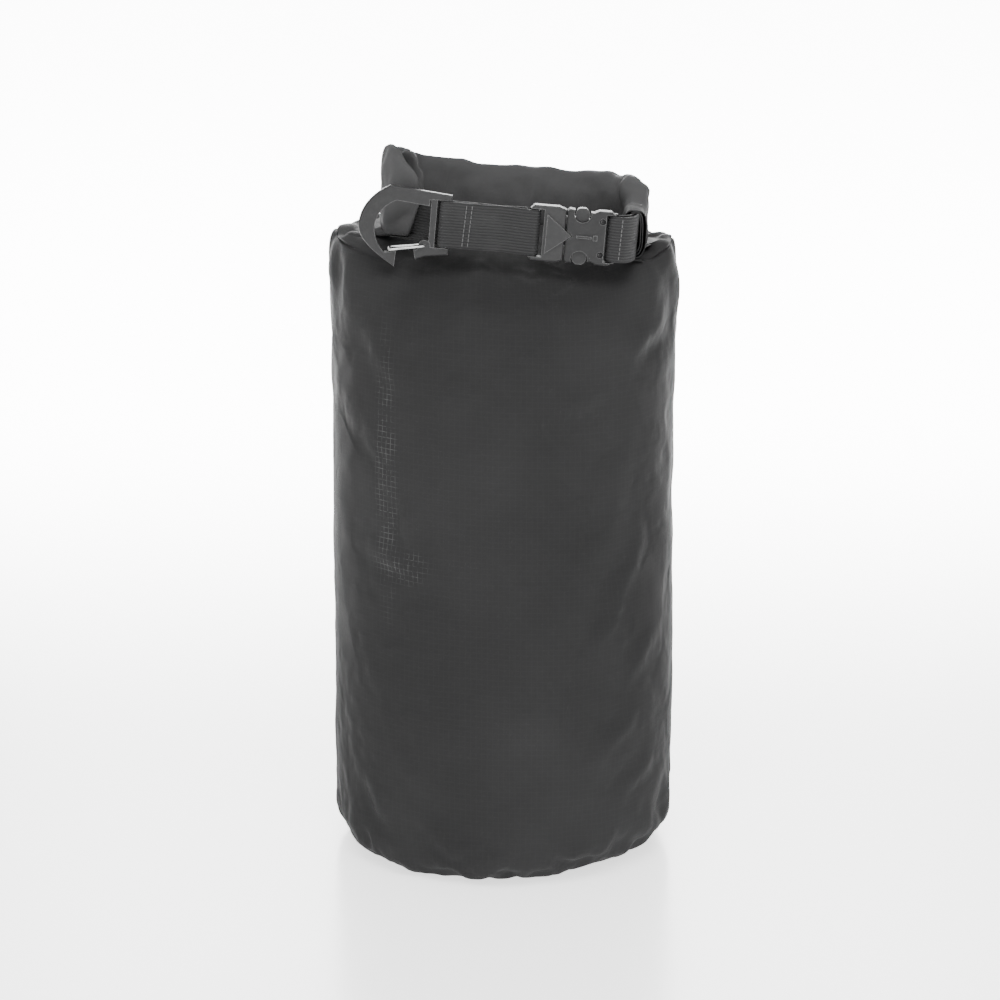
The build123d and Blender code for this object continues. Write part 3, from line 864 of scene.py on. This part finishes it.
def make_stage():
    """A pale floor that curves up behind the bag, lit from within towards the back."""
    rows = []
    for y, z in ((-3.0, 0), (-0.5, 0), (0.5, 0), (1.6, 0), (2.6, 0.12), (3.2, 0.6), (3.4, 1.4), (3.4, 3.4)):
        rows.append([(x, y, z) for x in np.linspace(4, -4, 9)])
    floor = grid_object("floor", np.array(rows))
    floor.modifiers.new("round", "SUBSURF").render_levels = 3
    material, tree, shader = new_material("floor")
    coordinates = tree.nodes.new("ShaderNodeTexCoord")
    mottle = noise_texture(tree, coordinates.outputs["Object"], 3.0, 3.0)
    colour = mix_colour(tree, mottle, (0.90, 0.90, 0.90), (0.92, 0.92, 0.92))
    tree.links.new(colour, shader.inputs["Base Color"])
    shader.inputs["Roughness"].default_value = 0.22
    split = tree.nodes.new("ShaderNodeSeparateXYZ")
    tree.links.new(coordinates.outputs["Object"], split.inputs[0])
    behind = ramp(tree, split.outputs[1], 0.1, 1.1)
    beside = ramp(tree, math_node(tree, "ABSOLUTE", split.outputs[0]), 1.3, 0.7)
    shown = math_node(tree, "MULTIPLY", behind, beside)
    glow = math_node(tree, "MULTIPLY_ADD", shown, BACK_GLOW, FLOOR_GLOW)
    shader.inputs["Emission Color"].default_value = (1, 1, 1, 1)
    tree.links.new(glow, shader.inputs["Emission Strength"])
    floor.data.materials.append(material)


def area_light(name, place, target, size, power):
    light = bpy.data.lights.new(name, "AREA")
    light.shape = "RECTANGLE"
    light.size, light.size_y = size
    light.energy = power
    obj = bpy.data.objects.new(name, light)
    bpy.context.scene.collection.objects.link(obj)
    obj.location = place
    obj.rotation_euler = (Vector(target) - Vector(place)).to_track_quat("-Z", "Y").to_euler()


def make_lights():
    world = bpy.data.worlds.new("studio")
    bpy.context.scene.world = world
    world.use_nodes = True
    world.node_tree.nodes["Background"].inputs[0].default_value = (1, 1, 1, 1)
    world.node_tree.nodes["Background"].inputs[1].default_value = WORLD_LIGHT
    area_light("top", (0.0, -0.85, 1.6), (0, 0, 0.34), (1.0, 0.8), 21)
    area_light("front", (0.0, -1.7, 0.35), (0, 0, 0.30), (1.4, 0.5), 5)
    area_light("left", (-1.5, -0.9, 0.7), (0, 0, 0.22), (0.5, 1.3), 3)
    area_light("right", (1.6, -0.7, 0.6), (0, 0, 0.22), (0.4, 1.2), 3)


CAMERA_TILT = math.radians(15)
CAMERA_DISTANCE = 1.65
CAMERA_TARGET = Vector((0, 0, 0.190))
CAMERA_LENS = 103.5
CAMERA_SHIFT = (-0.0035, 0.0177)


def make_camera():
    data = bpy.data.cameras.new("camera")
    data.lens = CAMERA_LENS
    data.sensor_width = 36
    data.shift_x, data.shift_y = CAMERA_SHIFT
    obj = bpy.data.objects.new("camera", data)
    bpy.context.scene.collection.objects.link(obj)
    back = Vector((0, -math.cos(CAMERA_TILT), math.sin(CAMERA_TILT)))
    obj.location = CAMERA_TARGET + back * CAMERA_DISTANCE
    obj.rotation_euler = (-back).to_track_quat("-Z", "Y").to_euler()
    bpy.context.scene.camera = obj


ripstop = ripstop_material()
webbing = webbing_material()
socket = plastic_material("socket_plastic", (0.017, 0.017, 0.0173), (0.13, 0.13, 0.13), 0.36, 1500.0)
plug = plastic_material("plug_plastic", (0.024, 0.024, 0.0243), (0.15, 0.15, 0.15), 0.33, 1500.0)
hook = plastic_material("hook_plastic", (0.021, 0.021, 0.0214), (0.15, 0.15, 0.15), 0.32, 1200.0)
wire = wire_material()
thread = thread_material()
tape = film_material("seam_tape", (0.12, 0.12, 0.123), (0.18, 0.18, 0.184))
strip = film_material("stiffener", (0.02, 0.02, 0.02), (0.04, 0.04, 0.04))

bag = make_bag(ripstop)
make_base(ripstop)
make_roll(ripstop)
make_strap(webbing)
make_tab(webbing)
dress(("buckle_socket",), socket)
dress(("buckle_plug", "buckle_prong_upper", "buckle_prong_lower"), plug)
dress(("hook_body",), hook)
dress(("hook_wire_gate",), wire)
make_stitches("strap_thread", "strap_stitching", ((-22.6, -23.6, -2.02), (-25.6, -26.6, -2.32)), thread)
make_stitches("tab_thread", "tab_stitching", ((58.2, 57.8, -3.36),), thread)
make_side_tape(bag, tape)
dress(("base_seam_tape",), tape)
dress(("base_seam_allowance",), ripstop)
make_stiffener("stiffener_front", -1, "collar_stiffener_front", strip)
make_stiffener("stiffener_back", 1, "collar_stiffener_back", strip)
make_stage()
make_lights()
make_camera()
